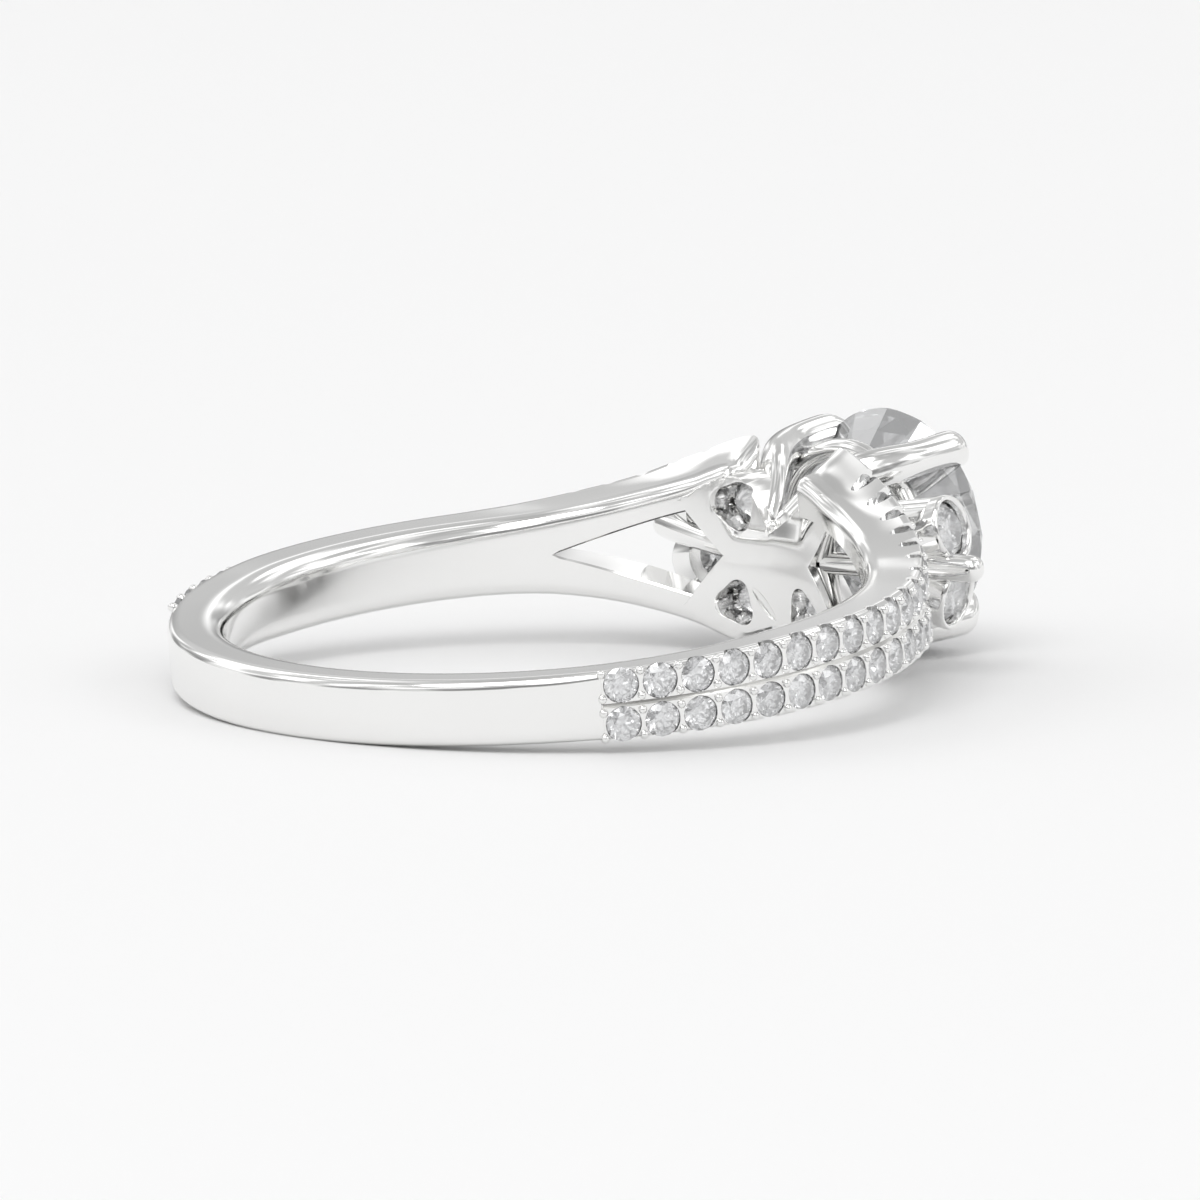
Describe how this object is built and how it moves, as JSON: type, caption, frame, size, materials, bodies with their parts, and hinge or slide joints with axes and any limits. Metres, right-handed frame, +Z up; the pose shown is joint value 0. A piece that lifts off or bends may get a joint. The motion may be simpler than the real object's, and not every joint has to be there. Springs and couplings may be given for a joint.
{
  "type": "diamond engagement ring",
  "caption": "White gold engagement ring with a split shank of pave stones, a crossed gallery, a pronged round centre stone and small side stones under it.",
  "frame": {"origin": "on the surface that the ring lies on, under the middle of its bounding box", "axes": "+X from the back of the shank toward the head, +Y across the head, +Z up; the finger axis leans from +Z toward -X by the ring's own lean at rest"},
  "size_m": [0.0252, 0.0206, 0.0065],
  "materials": {
    "white_gold": "polished",
    "diamond": "cut and polished"
  },
  "bodies": {
    "root": {"ring_mount": "white_gold", "centre_diamond": "diamond", "side_stone_near_up": "diamond", "side_stone_near_low": "diamond", "side_stone_far_up": "diamond", "side_stone_far_low": "diamond", "gallery_stone_near_low": "diamond", "gallery_stone_far_up": "diamond", "gallery_stone_far_low": "diamond", "near_pave": "diamond", "far_pave": "diamond"}
  },
  "joints": []
}
